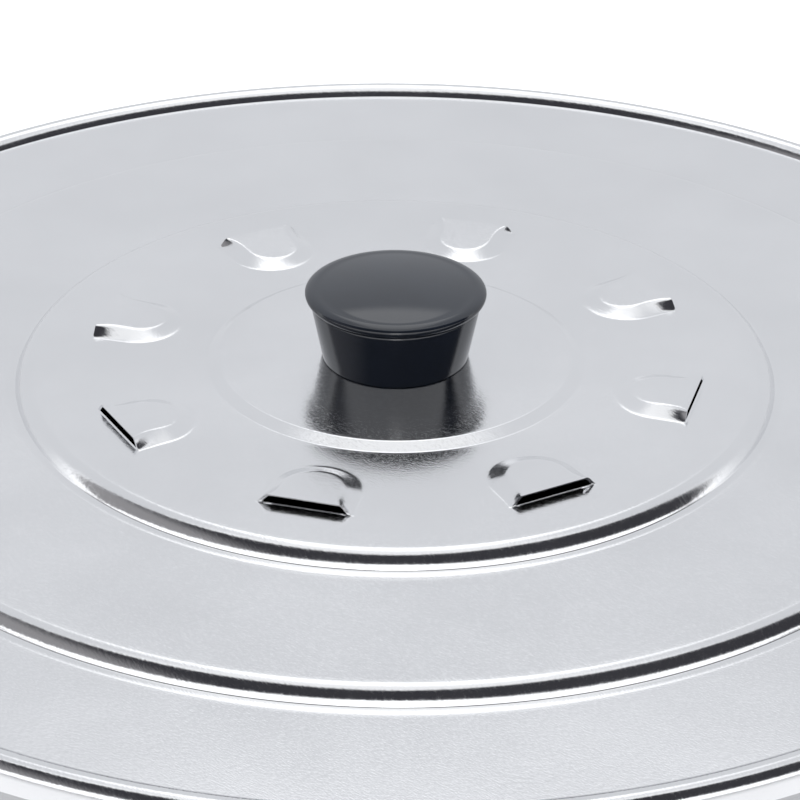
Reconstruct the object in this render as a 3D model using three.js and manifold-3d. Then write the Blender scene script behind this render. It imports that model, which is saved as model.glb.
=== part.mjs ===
// Canner: a deep drawn pot on a clad base, a stepped lid with eight louvre vents and a knob, and a
// wire jar rack with two folding handles. Units are millimetres and +Z is up. The origin is the centre of the
// base's underside. The pot's side handles lie on X, and the rack's folding handles hinge near -Y and +Y.
import * as THREE from "three";
import { ConvexGeometry } from "three/addons/geometries/ConvexGeometry.js";
import { mergeVertices } from "three/addons/utils/BufferGeometryUtils.js";
import Module from "manifold-3d";

const wasm = await Module();
wasm.setup();

// ---- Driving dimensions -------------------------------------------------------------------------------------

const GAP = 0.2; // between pieces that touch
const HOLE_CLEARANCE = 0.4; // between a screw or rivet and what it passes through
const ROUND_SIDES = 40; // facets round the pot and the lid
const KNOB_SIDES = 24; // facets round the knob
const SMALL_SIDES = 16; // facets round screws, rivets and washers
const WIRE_SIDES = 8; // facets round a wire

// Pot
const POT_BORE_R = 160.7; // inside radius of the wall
const POT_RIM_Z = 255; // top of the rolled rim
const SHEET = 0.7; // wall of the pot and of the lid
const CORNER_R = 14; // outside radius where the wall meets the floor
const CURL_R = 2; // outside radius of the rolled rim
const CURL_TURN_DEG = 250; // how far the rim rolls over

// Base under the pot: an aluminium core in a shallow steel capsule
const CAPSULE_T = 0.8;
const CAPSULE_CHAMFER = 1.2;
const CORE_T = 4;
const CORE_MARGIN = 7; // from the core's edge to the start of the pot's corner

// Lid, from the centre outwards; the middle band takes the width that is left
const PLATEAU_R = 39; // raised seat of the knob
const PLATEAU_H = 1.3;
const PLATEAU_STEP_W = 3.2;
const VENT_INNER_MARGIN = 7.6; // from the plateau's foot to the back of a vent
const VENT_LENGTH = 17.9;
const VENT_OUTER_MARGIN = 12.3; // from the vents' slots to the edge of the vent plate
const STEP_W = 6; // width of each of the two round steps
const STEP_H = 3.5; // drop of each step
const STEP_SHOULDER = 0.72; // part of a step's width that its shoulder takes; its tighter foot takes the rest
const OUTER_BAND_W = 29.4; // flat band between the outer step and the rim bead
const BEAD_RISE = 1.9; // height of the rim bead above the outer band
const BEAD_SHOULDER_R = 5; // inner side of the bead, from the band up to the crest
const SEAT_GAP = 0.3; // between the lid's bead and the pot's rolled rim
const SKIRT_H = 3.2; // straight skirt below the bead's centre

// Louvre vents
const VENT_COUNT = 8;
const VENT_WIDTH = 20.8; // outside width, twice the radius of the round back
const VENT_FIRST_DEG = -15.8; // direction of the first vent from +X
const VENT_OPENING = 1.4; // height of the slot
const VENT_BACK_RISE = 0.95; // height of the hood at its back
const VENT_FLANK = 1.6; // how far the hood's sides lean in

// Knob
const KNOB_FOOT_R = 16.2;
const KNOB_NECK_R = 18.9; // top of the tapered body
const KNOB_BODY_H = 13.5;
const KNOB_CAP_R = 20;
const KNOB_CAP_EDGE_H = 2.8; // height of the cap's rounded edge
const KNOB_CAP_DOME_H = 0.9; // rise of the cap's top over its edge
const KNOB_WALL = 3;
const KNOB_ROOF = 4.2;
const SPIGOT_R = 9; // plug under the cap, in a recess in the body
const SPIGOT_H = 1.8;
const BOSS_WALL = 2.4; // round the threaded insert
const KNOB_EASE_W = 0.4; // eased edge at the top of the tapered body
const KNOB_EASE_H = 1;
const KNOB_DRAFT = 1; // how much thicker the body's wall is at the top of its hollow

// Threaded inserts, screws, washers and rivets
const INSERT_R = 4.2;
const INSERT_L = 8.5;
const SCREW_R = 2.5;
const SCREW_HEAD_R = 4.7;
const SCREW_HEAD_H = 2.8;
const SCREW_CROWN_R = 3.3; // flat top of a screw's head
const SCREW_EDGE_H = 1.5; // straight edge of the head
const SCREW_SLOT = 1.2; // width and depth of the driver slot
const SCREW_TIP_L = 1; // tapered end of the thread
const SCREW_TIP_W = 0.8;
const LID_SCREW_L = 10;
const SIDE_SCREW_L = 8.5;
const WASHER_R = 8;
const LOCK_WASHER_R = 4.6;
const LOCK_WASHER_SPLIT = 0.8;
const WASHER_T = 1.2;
const RIVET_R = 2.3;
const RIVET_HEAD_R = 4.6;
const RIVET_HEAD_H = 1.8; // domed head on the bracket
const RIVET_FLAT_H = 1.3; // flat head inside the pot
const RIVET_CHAMFER = 0.8;
const RIVET_MARGIN = 1; // from a rivet's head to the bracket's arm

// Side handles
const HANDLE_DROP = 46; // from the rim to the middle of the handle
const HANDLE_SPAN = 88; // between the inner faces of the bracket's arms
const BRACKET_T = 1.8;
const BRACKET_H = 24;
const BRACKET_NOSE_R = 8;
const BRACKET_SHOULDER = 8; // from the bracket's back to where its arms start to taper
const FINGER_GAP = 30; // between the bracket's back and the grip
const GRIP_W = 18; // across the grip, away from the pot
const GRIP_H = 17;
const GRIP_BOW = 5; // how far the middle of the grip bows outwards

// Jar rack
const WIRE_R = 2.2; // ring, bars and runners
const WELD = 0.9; // how deep crossing wires are pressed into each other
const RACK_CLEARANCE = 7; // between the rack's ring and the pot's wall
const FOOT_H = 14; // from the pot's floor to the middle of the ring
const HINGE_INSET = 28; // from the ring's centre line to the outermost bar
const BARS_EACH_SIDE = 3; // bars on each side of the middle one
const RUNNER_X = 62;
const FOOT_INSET = 12; // from the ring's centre line to the runners' feet
const BEND_R = 9;
const HANDLE_WIRE_R = 2;
const EYE_CLEARANCE = 0.4; // between a folding handle's eye and its bar
const EYE_WRAP_DEG = 260;
const WIDE_EYE_X = 52;
const NARROW_EYE_X = 40;
const LEG_TAPER = 12; // how much each leg comes in from its eye to its top
const LEAN_CLEARANCE = 0.5; // between a standing handle and the wall that it leans to
const HANDLE_HEADROOM = 50; // from the top of a folding handle to the pot's rim

// ---- Sizes that follow --------------------------------------------------------------------------------------

const FACET = (2 * Math.PI) / ROUND_SIDES; // angle of one facet of the pot
const FLAT = Math.cos(FACET / 2); // a facet's distance from the axis, as a part of its corners'

const POT_OUTER_R = POT_BORE_R + SHEET;
const CORE_R = POT_OUTER_R - CORNER_R - CORE_MARGIN;
const CORE_Z = CAPSULE_T + GAP;
const FLOOR_UNDER_Z = CORE_Z + CORE_T + GAP;
const FLOOR_Z = FLOOR_UNDER_Z + SHEET;
const CURL_X = POT_BORE_R + CURL_R;
const CURL_Z = POT_RIM_Z - CURL_R;

const BEAD_R = CURL_R + SEAT_GAP + SHEET;
const BEAD_FOOT_R = CURL_X - Math.sqrt(BEAD_RISE * (2 * BEAD_SHOULDER_R - BEAD_RISE));
const OUTER_BAND_Z = CURL_Z + BEAD_R - BEAD_RISE;
const MIDDLE_BAND_Z = OUTER_BAND_Z + STEP_H;
const VENT_PLATE_Z = MIDDLE_BAND_Z + STEP_H;
const PLATEAU_Z = VENT_PLATE_Z + PLATEAU_H;
const VENT_SLOT_R = PLATEAU_R + PLATEAU_STEP_W + VENT_INNER_MARGIN + VENT_LENGTH;
const VENT_PLATE_R = VENT_SLOT_R + VENT_OUTER_MARGIN;
const MIDDLE_BAND_R = BEAD_FOOT_R - OUTER_BAND_W - STEP_W; // outer edge of the middle band

const HANDLE_Z = POT_RIM_Z - HANDLE_DROP;
const ARM_IN_Y = HANDLE_SPAN / 2;
const ARM_OUT_Y = ARM_IN_Y + BRACKET_T;
const BRACKET_IN_R = POT_OUTER_R + GAP;
const BRACKET_OUT_R = BRACKET_IN_R + BRACKET_T;
const GRIP_X = BRACKET_OUT_R + FINGER_GAP + GRIP_W / 2;
// Each rivet passes through the middle of the outermost facet that leaves its head clear of the bracket's arm.
const RIVET_REACH = Math.asin((ARM_IN_Y - RIVET_HEAD_R - RIVET_MARGIN) / BRACKET_OUT_R) / FACET;
const RIVET_TURN = (Math.floor(RIVET_REACH - 0.5) + 0.5) * FACET;

const RING_R = POT_BORE_R - RACK_CLEARANCE - WIRE_R;
const RING_Z = FLOOR_Z + GAP + FOOT_H;
const BAR_Z = RING_Z + 2 * WIRE_R - WELD;
const HINGE_Y = RING_R - HINGE_INSET;
const EYE_R = WIRE_R + EYE_CLEARANCE + HANDLE_WIRE_R; // middle of the eye's own wire
const LEG_L = POT_RIM_Z - HANDLE_HEADROOM - BAR_Z;

// ---- Materials ----------------------------------------------------------------------------------------------

function metal(color, roughness) {
  return new THREE.MeshStandardMaterial({ color, roughness, metalness: 1 });
}

const polishedSteel = () => metal(0xd3d4d8, 0.16);
const brushedSteel = () => metal(0xc6c7ca, 0.32);
const aluminium = () => metal(0xb4b6b9, 0.45);
const chromeWire = () => metal(0xd6d8db, 0.14);
const zincPlate = () => metal(0xa7a9ac, 0.36);
const brass = () => metal(0xb8924a, 0.35);
const blackPhenolic = () => new THREE.MeshStandardMaterial({ color: 0x14161a, roughness: 0.18, metalness: 0 });

// ---- Helpers ------------------------------------------------------------------------------------------------

function addPiece(parent, name, geometry, material) {
  const mesh = new THREE.Mesh(geometry, material);
  mesh.name = name;
  parent.add(mesh);
  return mesh;
}

// A geometry as a closed body that can be joined and cut.
function body(geometry) {
  const bare = geometry.clone();
  bare.deleteAttribute("normal");
  bare.deleteAttribute("uv");
  const merged = mergeVertices(bare, 1e-4);
  const corners = [];
  for (let i = 0; i < merged.index.count; i += 3) {
    const [a, b, c] = [0, 1, 2].map((k) => merged.index.getX(i + k));
    if (a !== b && b !== c && c !== a) corners.push(a, b, c);
  }
  return new wasm.Manifold(
    new wasm.Mesh({
      numProp: 3,
      vertProperties: new Float32Array(merged.attributes.position.array),
      triVerts: new Uint32Array(corners),
    }),
  );
}

function geometryOf(manifold) {
  const mesh = manifold.getMesh();
  const geometry = new THREE.BufferGeometry();
  geometry.setAttribute("position", new THREE.BufferAttribute(mesh.vertProperties, 3));
  geometry.setIndex(new THREE.BufferAttribute(mesh.triVerts, 1));
  geometry.computeVertexNormals();
  return geometry;
}

function joined(bodies) {
  return bodies.reduce((whole, next) => whole.add(next));
}

function cut(whole, tools) {
  return tools.reduce((rest, tool) => rest.subtract(tool), whole);
}

const v2 = (x, y) => new THREE.Vector2(x, y);
const v3 = (x, y, z) => new THREE.Vector3(x, y, z);

// Points of an arc about (x, y), with its angles in degrees anticlockwise.
function arc(x, y, r, from, to, steps) {
  return Array.from({ length: steps + 1 }, (_, i) => {
    const a = THREE.MathUtils.degToRad(from + ((to - from) * i) / steps);
    return v2(x + r * Math.cos(a), y + r * Math.sin(a));
  });
}

// Turns an outline of (radius, height) points, listed anticlockwise, about Z. An outline that starts and ends on
// the axis is left open there; any other one is closed.
function turned(outline, sides) {
  const onAxis = outline[0].x === 0;
  const points = onAxis ? outline : [...outline, outline[0].clone()];
  return new THREE.LatheGeometry(points, sides).rotateX(Math.PI / 2);
}

function disc(r, low, high, sides) {
  return turned([v2(0, low), v2(r, low), v2(r, high), v2(0, high)], sides);
}

function ring(inner, outer, low, high, sides) {
  return turned([v2(inner, low), v2(outer, low), v2(outer, high), v2(inner, high)], sides);
}

// A flat shape given by its corners, extruded along Z from low to high.
function slab(corners, low, high) {
  const settings = { depth: high - low, bevelEnabled: false };
  return new THREE.ExtrudeGeometry(new THREE.Shape(corners), settings).translate(0, 0, low);
}

// A route of straight runs between points; each run is an equal part of the route, whatever its length.
class Route extends THREE.Curve {
  constructor(points) {
    super();
    this.points = points;
    this.runs = points.length - 1;
  }

  getPointAt(t, target = new THREE.Vector3()) {
    const i = Math.min(Math.floor(t * this.runs + 1e-6), this.runs - 1);
    return target.lerpVectors(this.points[i], this.points[i + 1], t * this.runs - i);
  }

  getTangentAt(t, target = new THREE.Vector3()) {
    const i = Math.round(t * this.runs);
    const before = this.points[Math.max(i - 1, 0)];
    const after = this.points[Math.min(i + 1, this.runs)];
    return target.subVectors(after, before).normalize();
  }
}

function wire(points, r) {
  const section = new THREE.Shape(arc(0, 0, r, 0, 360, WIRE_SIDES).slice(1));
  return new THREE.ExtrudeGeometry(section, { steps: points.length - 1, extrudePath: new Route(points) });
}

// Replaces each inner corner of a chain of points by a bend.
function bent(points, reach) {
  const steps = 4;
  const route = [points[0]];
  for (let i = 1; i < points.length - 1; i++) {
    const back = points[i - 1].clone().sub(points[i]).setLength(reach);
    const on = points[i + 1].clone().sub(points[i]).setLength(reach);
    const start = points[i].clone().add(back);
    const end = points[i].clone().add(on);
    route.push(...new THREE.QuadraticBezierCurve3(start, points[i], end).getPoints(steps));
  }
  route.push(points[points.length - 1]);
  return route;
}

// ---- Pot ----------------------------------------------------------------------------------------------------

function potShell() {
  const cornerR = POT_OUTER_R - CORNER_R;
  const cornerZ = FLOOR_UNDER_Z + CORNER_R;
  const curlEnd = 180 - CURL_TURN_DEG;
  const shell = body(
    turned(
      [
        v2(0, FLOOR_UNDER_Z),
        ...arc(cornerR, cornerZ, CORNER_R, -90, 0, 5),
        ...arc(CURL_X, CURL_Z, CURL_R - SHEET, 180, curlEnd, 8),
        ...arc(CURL_X, CURL_Z, CURL_R, curlEnd, 180, 8),
        ...arc(cornerR, cornerZ, CORNER_R - SHEET, 0, -90, 5),
        v2(0, FLOOR_Z),
      ],
      ROUND_SIDES,
    ),
  );
  return geometryOf(cut(shell, rivetHoles([0, Math.PI])));
}

// Radial holes for the handle rivets, for handles turned to the given angles.
function rivetHoles(turns) {
  const tool = disc(RIVET_R + HOLE_CLEARANCE, POT_BORE_R - CURL_R, BRACKET_OUT_R + CURL_R, SMALL_SIDES)
    .rotateY(Math.PI / 2);
  return turns.flatMap((turn) =>
    [-RIVET_TURN, RIVET_TURN].map((side) => body(tool.clone().rotateZ(turn + side).translate(0, 0, HANDLE_Z))),
  );
}

function baseCapsule() {
  const inner = CORE_R + GAP;
  const outer = inner + CAPSULE_T;
  const top = FLOOR_UNDER_Z - GAP;
  return turned(
    [
      v2(0, 0),
      v2(outer - CAPSULE_CHAMFER, 0),
      v2(outer, CAPSULE_CHAMFER),
      v2(outer, top),
      v2(inner, top),
      v2(inner, CAPSULE_T),
      v2(0, CAPSULE_T),
    ],
    ROUND_SIDES,
  );
}

// ---- Lid ----------------------------------------------------------------------------------------------------

// A step down and outwards from (r, z): a rounded shoulder, then a tighter foot, at a depth below the surface.
function step(r, z, width, drop, depth, count) {
  const turn = 2 * Math.atan2(drop, width);
  const turnDeg = THREE.MathUtils.radToDeg(turn);
  const shoulderR = (STEP_SHOULDER * width) / Math.sin(turn);
  const footR = ((1 - STEP_SHOULDER) * width) / Math.sin(turn);
  return [
    ...arc(r, z - shoulderR, shoulderR - depth, 90, 90 - turnDeg, count),
    ...arc(r + width, z - drop + footR, footR + depth, 270 - turnDeg, 270, count).slice(1),
  ];
}

// The bead over the pot's rim, at a depth below the surface: a wide shoulder from the flat band up to the crest,
// then a round down to the skirt.
function bead(depth) {
  const shoulderZ = CURL_Z + BEAD_R - BEAD_SHOULDER_R;
  const r = BEAD_SHOULDER_R - depth;
  const start = THREE.MathUtils.radToDeg(Math.asin((OUTER_BAND_Z - depth - shoulderZ) / r));
  return [
    ...arc(CURL_X, shoulderZ, r, 180 - start, 90, 3),
    ...arc(CURL_X, CURL_Z, BEAD_R - depth, 90, 0, 4).slice(1),
  ];
}

// The lid's section from its centre hole to the edge of its skirt, at a depth below the top surface.
function lidSection(depth) {
  return [
    v2(SCREW_R + HOLE_CLEARANCE, PLATEAU_Z - depth),
    ...step(PLATEAU_R, PLATEAU_Z, PLATEAU_STEP_W, PLATEAU_H, depth, 1),
    ...step(VENT_PLATE_R, VENT_PLATE_Z, STEP_W, STEP_H, depth, 2),
    ...step(MIDDLE_BAND_R, MIDDLE_BAND_Z, STEP_W, STEP_H, depth, 2),
    ...bead(depth),
    v2(CURL_X + BEAD_R - depth, CURL_Z - SKIRT_H),
  ];
}

function lidShell() {
  const sheet = body(turned([...lidSection(SHEET), ...lidSection(0).reverse()], ROUND_SIDES));
  const hoods = joined(ventDirections().map((turn) => louvre(0, -SHEET / 2, VENT_SLOT_R, turn)));
  const hollows = ventDirections().map((turn) => louvre(SHEET, -2 * SHEET, VENT_SLOT_R + GAP / 4, turn));
  return geometryOf(cut(sheet.add(hoods), hollows));
}

function ventDirections() {
  const first = THREE.MathUtils.degToRad(VENT_FIRST_DEG);
  return Array.from({ length: VENT_COUNT }, (_, i) => first + (i * 2 * Math.PI) / VENT_COUNT);
}

// The body under a louvre's roof, inset from the hood's outside: a round back, leaning flanks and a roof that
// rises to the slot.
function louvre(inset, bottom, front, turn) {
  const centre = VENT_SLOT_R - VENT_LENGTH + VENT_WIDTH / 2;
  const half = VENT_WIDTH / 2 - inset;
  const slope = (VENT_OPENING + SHEET - VENT_BACK_RISE) / VENT_LENGTH;
  const roof = (x) => VENT_OPENING + SHEET - inset - (VENT_SLOT_R - x) * slope;
  const plan = (h) => [v2(front, -h), v2(front, h), ...arc(centre, 0, h, 90, 270, 8)];
  const hull = new ConvexGeometry([
    ...plan(half).map((p) => v3(p.x, p.y, bottom)),
    ...plan(half).map((p) => v3(p.x, p.y, 0)),
    ...plan(half - VENT_FLANK).map((p) => v3(p.x, p.y, roof(p.x))),
  ]);
  return body(hull.rotateZ(turn).translate(0, 0, VENT_PLATE_Z));
}

// ---- Knob ---------------------------------------------------------------------------------------------------

// The knob's pieces are drawn from the top of the lid's plateau upwards.
function knobBody() {
  const low = GAP;
  const top = low + KNOB_BODY_H;
  const bossR = INSERT_R + GAP;
  const bossTop = low + INSERT_L + 2 * GAP;
  return turned(
    [
      v2(bossR, low),
      v2(bossR + BOSS_WALL, low),
      v2(bossR + BOSS_WALL, top - KNOB_ROOF),
      v2(KNOB_NECK_R - KNOB_WALL - KNOB_DRAFT, top - KNOB_ROOF),
      v2(KNOB_FOOT_R - KNOB_WALL, low),
      v2(KNOB_FOOT_R, low),
      v2(KNOB_NECK_R, top - KNOB_EASE_H),
      v2(KNOB_NECK_R - KNOB_EASE_W, top),
      v2(SPIGOT_R + GAP, top),
      v2(SPIGOT_R + GAP, top - SPIGOT_H - GAP),
      v2(SCREW_R, top - SPIGOT_H - GAP),
      v2(SCREW_R, bossTop),
      v2(bossR, bossTop),
    ],
    KNOB_SIDES,
  );
}

function knobCap() {
  const low = 2 * GAP + KNOB_BODY_H;
  const edge = KNOB_CAP_EDGE_H / 2;
  const rim = arc(KNOB_CAP_R - edge, low + edge, edge, -60, 80, 6);
  const crown = (part) => v2(KNOB_CAP_R * part, low + KNOB_CAP_EDGE_H + KNOB_CAP_DOME_H * (1 - part ** 2));
  return turned(
    [
      v2(0, low - SPIGOT_H),
      v2(SPIGOT_R, low - SPIGOT_H),
      v2(SPIGOT_R, low),
      v2(KNOB_NECK_R - 1.5 * KNOB_EASE_W, low),
      ...rim,
      ...[0.7, 0.35, 0].map(crown),
    ],
    KNOB_SIDES,
  );
}

// ---- Fasteners ----------------------------------------------------------------------------------------------

function threadedInsert() {
  return ring(SCREW_R + GAP, INSERT_R, 0, INSERT_L, SMALL_SIDES);
}

// A pan-head screw that points up, with the seat of its head at z = 0.
function screw(length) {
  const blank = turned(
    [
      v2(0, -SCREW_HEAD_H),
      v2(SCREW_CROWN_R, -SCREW_HEAD_H),
      v2(SCREW_HEAD_R, -SCREW_EDGE_H),
      v2(SCREW_HEAD_R, 0),
      v2(SCREW_R, 0),
      v2(SCREW_R, length - SCREW_TIP_L),
      v2(SCREW_R - SCREW_TIP_W, length),
      v2(0, length),
    ],
    SMALL_SIDES,
  );
  const slot = new THREE.BoxGeometry(4 * SCREW_HEAD_R, SCREW_SLOT, 2 * SCREW_SLOT);
  return geometryOf(cut(body(blank), [body(slot.translate(0, 0, -SCREW_HEAD_H))]));
}

function washer(outer) {
  return ring(SCREW_R + HOLE_CLEARANCE, outer, 0, WASHER_T, SMALL_SIDES);
}

function lockWasher() {
  const split = new THREE.BoxGeometry(2 * LOCK_WASHER_R, LOCK_WASHER_SPLIT, 4 * WASHER_T);
  return geometryOf(cut(body(washer(LOCK_WASHER_R)), [body(split.translate(LOCK_WASHER_R, 0, 0))]));
}

// A rivet along X, with its inner head inside the pot and its outer head on the bracket.
function rivet() {
  const inside = POT_BORE_R * FLAT - GAP;
  const outside = BRACKET_OUT_R * FLAT + GAP;
  const dome = arc(0, 0, 1, 0, 90, 3).slice(0, -1);
  return turned(
    [
      v2(0, inside - RIVET_FLAT_H),
      v2(RIVET_HEAD_R - RIVET_CHAMFER, inside - RIVET_FLAT_H),
      v2(RIVET_HEAD_R, inside - RIVET_FLAT_H + RIVET_CHAMFER),
      v2(RIVET_HEAD_R, inside),
      v2(RIVET_R, inside),
      v2(RIVET_R, outside),
      ...dome.map((p) => v2(RIVET_HEAD_R * p.x, outside + RIVET_HEAD_H * p.y)),
      v2(0, outside + RIVET_HEAD_H),
    ],
    SMALL_SIDES,
  ).rotateY(Math.PI / 2);
}

// ---- Side handles -------------------------------------------------------------------------------------------

// Where the pot's faceted wall, or a band round it of radius r, has the given y on its +X side.
function wallPoint(r, y) {
  const facet = Math.floor(Math.asin(Math.abs(y) / r) / FACET) + 0.5;
  const middle = facet * FACET;
  return v2((r * FLAT - Math.abs(y) * Math.sin(middle)) / Math.cos(middle), y);
}

// Points along that wall from -y to y.
function wallRun(r, y) {
  const last = Math.ceil(Math.asin(y / r) / FACET) - 1;
  const corners = Array.from({ length: 2 * last + 1 }, (_, i) => {
    const a = (i - last) * FACET;
    return v2(r * Math.cos(a), r * Math.sin(a));
  });
  return [wallPoint(r, -y), ...corners, wallPoint(r, y)];
}

// A strap that lies on the pot's wall and turns out at both ends into an arm.
function bracket() {
  const tip = GRIP_X + BRACKET_NOSE_R + 1;
  const strap = slab(
    [
      v2(tip, -ARM_OUT_Y),
      v2(tip, -ARM_IN_Y),
      ...wallRun(BRACKET_OUT_R, ARM_IN_Y),
      v2(tip, ARM_IN_Y),
      v2(tip, ARM_OUT_Y),
      ...wallRun(BRACKET_IN_R, ARM_OUT_Y).reverse(),
    ],
    -BRACKET_H / 2,
    BRACKET_H / 2,
  );
  const side = slab(
    [
      v2(0, -BRACKET_H / 2 - 1),
      v2(BRACKET_OUT_R + BRACKET_SHOULDER, -BRACKET_H / 2 - 1),
      ...arc(GRIP_X, 0, BRACKET_NOSE_R, -80, 80, 8),
      v2(BRACKET_OUT_R + BRACKET_SHOULDER, BRACKET_H / 2 + 1),
      v2(0, BRACKET_H / 2 + 1),
    ],
    -ARM_OUT_Y - 1,
    ARM_OUT_Y + 1,
  ).rotateX(Math.PI / 2);
  const screwHole = disc(SCREW_R + HOLE_CLEARANCE, -ARM_OUT_Y - 1, ARM_OUT_Y + 1, SMALL_SIDES)
    .rotateX(Math.PI / 2)
    .translate(GRIP_X, 0, 0);
  const shaped = body(strap).intersect(body(side));
  const rivets = rivetHoles([0]).map((hole) => hole.translate([0, 0, -HANDLE_Z]));
  return geometryOf(cut(shaped, [body(screwHole), ...rivets]));
}

// A bowed bar between the arms, with a bore for a threaded insert in each end.
function grip() {
  const end = ARM_IN_Y - GAP;
  const bow = new THREE.QuadraticBezierCurve3(
    v3(GRIP_X, -ARM_OUT_Y, 0),
    v3(GRIP_X + 2 * GRIP_BOW, 0, 0),
    v3(GRIP_X, ARM_OUT_Y, 0),
  );
  const section = new THREE.EllipseCurve(0, 0, GRIP_H / 2, GRIP_W / 2, 0, 2 * Math.PI).getPoints(16).slice(1);
  const bar = new THREE.ExtrudeGeometry(new THREE.Shape(section), { steps: 10, extrudePath: bow });
  const between = new THREE.BoxGeometry(4 * GRIP_W, 2 * end, 4 * GRIP_H).translate(GRIP_X, 0, 0);
  const depth = INSERT_L + GAP;
  const bores = [-1, 1].map((side) =>
    body(
      disc(INSERT_R + GAP, -depth, 1, SMALL_SIDES)
        .rotateX(side > 0 ? -Math.PI / 2 : Math.PI / 2)
        .translate(GRIP_X, side * end, 0),
    ),
  );
  return geometryOf(cut(body(bar).intersect(body(between)), bores));
}

function addSideHandle(parent, label, turn) {
  const handle = new THREE.Group();
  handle.position.z = HANDLE_Z;
  handle.rotation.z = turn;
  parent.add(handle);
  addPiece(handle, `${label}_bracket`, bracket(), brushedSteel());
  addPiece(handle, `${label}_grip`, grip(), blackPhenolic());
  for (const [end, side] of [["a", -1], ["b", 1]]) {
    const nut = addPiece(handle, `${label}_insert_${end}`, threadedInsert(), brass());
    nut.position.set(GRIP_X, side * (ARM_IN_Y - 2 * GAP), 0);
    nut.rotation.x = (side * Math.PI) / 2;
    const fixing = addPiece(handle, `${label}_screw_${end}`, screw(SIDE_SCREW_L), zincPlate());
    fixing.position.set(GRIP_X, side * (ARM_OUT_Y + GAP), 0);
    fixing.rotation.x = (side * Math.PI) / 2;
    const pin = addPiece(handle, `${label}_rivet_${end}`, rivet(), brushedSteel());
    pin.rotation.z = side * RIVET_TURN;
  }
}

// ---- Jar rack -----------------------------------------------------------------------------------------------

// A ring with parallel bars on it, and two runners under the bars that turn down into four feet.
function rackFrame() {
  const hoop = new THREE.TorusGeometry(RING_R, WIRE_R, WIRE_SIDES, ROUND_SIDES).translate(0, 0, RING_Z);
  const bars = Array.from({ length: 2 * BARS_EACH_SIDE + 1 }, (_, i) => {
    const y = ((i - BARS_EACH_SIDE) * HINGE_Y) / BARS_EACH_SIDE;
    const reach = Math.sqrt(RING_R ** 2 - y ** 2) + WIRE_R;
    return wire([v3(-reach, y, BAR_Z), v3(reach, y, BAR_Z)], WIRE_R);
  });
  const footY = Math.sqrt((RING_R - FOOT_INSET) ** 2 - RUNNER_X ** 2);
  const footZ = FLOOR_Z + GAP;
  const runners = [-RUNNER_X, RUNNER_X].map((x) => {
    const route = [v3(x, -footY, footZ), v3(x, -footY, RING_Z), v3(x, footY, RING_Z), v3(x, footY, footZ)];
    return wire(bent(route, BEND_R), WIRE_R);
  });
  return geometryOf(joined([hoop, ...bars, ...runners].map(body)));
}

// A folding handle about its hinge: an eye round the bar at each foot, legs that come together a little, and a
// cross piece. It stands up, with its legs on the +Y side of the bar.
function rackHandle(eyeX) {
  const topX = eyeX - LEG_TAPER;
  const eye = (x) => arc(0, 0, EYE_R, 360 - EYE_WRAP_DEG, 360, 10).map((p) => v3(x, p.x, p.y));
  const frame = [v3(-eyeX, EYE_R, 0), v3(-topX, EYE_R, LEG_L), v3(topX, EYE_R, LEG_L), v3(eyeX, EYE_R, 0)];
  const legs = bent(frame, BEND_R).slice(1, -1);
  return wire([...eye(-eyeX), ...legs, ...eye(eyeX).reverse()], HANDLE_WIRE_R);
}

// How far a folding handle leans outwards before the ends of its cross piece reach the pot's wall.
function lean(eyeX) {
  const reach = POT_BORE_R * FLAT - LEAN_CLEARANCE - HANDLE_WIRE_R;
  const topY = Math.sqrt(reach ** 2 - (eyeX - LEG_TAPER) ** 2);
  return Math.asin((topY - HINGE_Y - EYE_R) / LEG_L);
}

// ---- Assembly -----------------------------------------------------------------------------------------------

const canner = new THREE.Group();
canner.name = "canner";

const pot = new THREE.Group();
canner.add(pot);
addPiece(pot, "pot_shell", potShell(), brushedSteel());
addPiece(pot, "base_core", disc(CORE_R, CORE_Z, CORE_Z + CORE_T, ROUND_SIDES), aluminium());
addPiece(pot, "base_capsule", baseCapsule(), brushedSteel());
addSideHandle(pot, "right", 0);
addSideHandle(pot, "left", Math.PI);

const lid = new THREE.Group();
canner.add(lid);
addPiece(lid, "lid_shell", lidShell(), polishedSteel());

const knob = new THREE.Group();
knob.position.z = PLATEAU_Z;
lid.add(knob);
addPiece(knob, "knob_body", knobBody(), blackPhenolic());
addPiece(knob, "knob_cap", knobCap(), blackPhenolic());
addPiece(knob, "knob_insert", threadedInsert(), brass()).position.z = 2 * GAP;

const underside = -SHEET - GAP;
addPiece(knob, "knob_washer", washer(WASHER_R), zincPlate()).position.z = underside - WASHER_T;
addPiece(knob, "knob_lock_washer", lockWasher(), zincPlate()).position.z = underside - GAP - 2 * WASHER_T;
addPiece(knob, "knob_screw", screw(LID_SCREW_L), zincPlate()).position.z = underside - 2 * GAP - 2 * WASHER_T;

const rack = new THREE.Group();
canner.add(rack);
addPiece(rack, "rack_frame", rackFrame(), chromeWire());
const wideHandle = addPiece(rack, "rack_handle_wide", rackHandle(WIDE_EYE_X), chromeWire());
wideHandle.position.set(0, -HINGE_Y, BAR_Z);
wideHandle.rotation.set(-lean(WIDE_EYE_X), 0, Math.PI, "ZYX");
const narrowHandle = addPiece(rack, "rack_handle_narrow", rackHandle(NARROW_EYE_X), chromeWire());
narrowHandle.position.set(0, HINGE_Y, BAR_Z);
narrowHandle.rotation.x = -lean(NARROW_EYE_X);

export default canner;
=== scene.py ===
import bpy
import math
import numpy as np
from mathutils import Matrix, Vector


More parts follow.
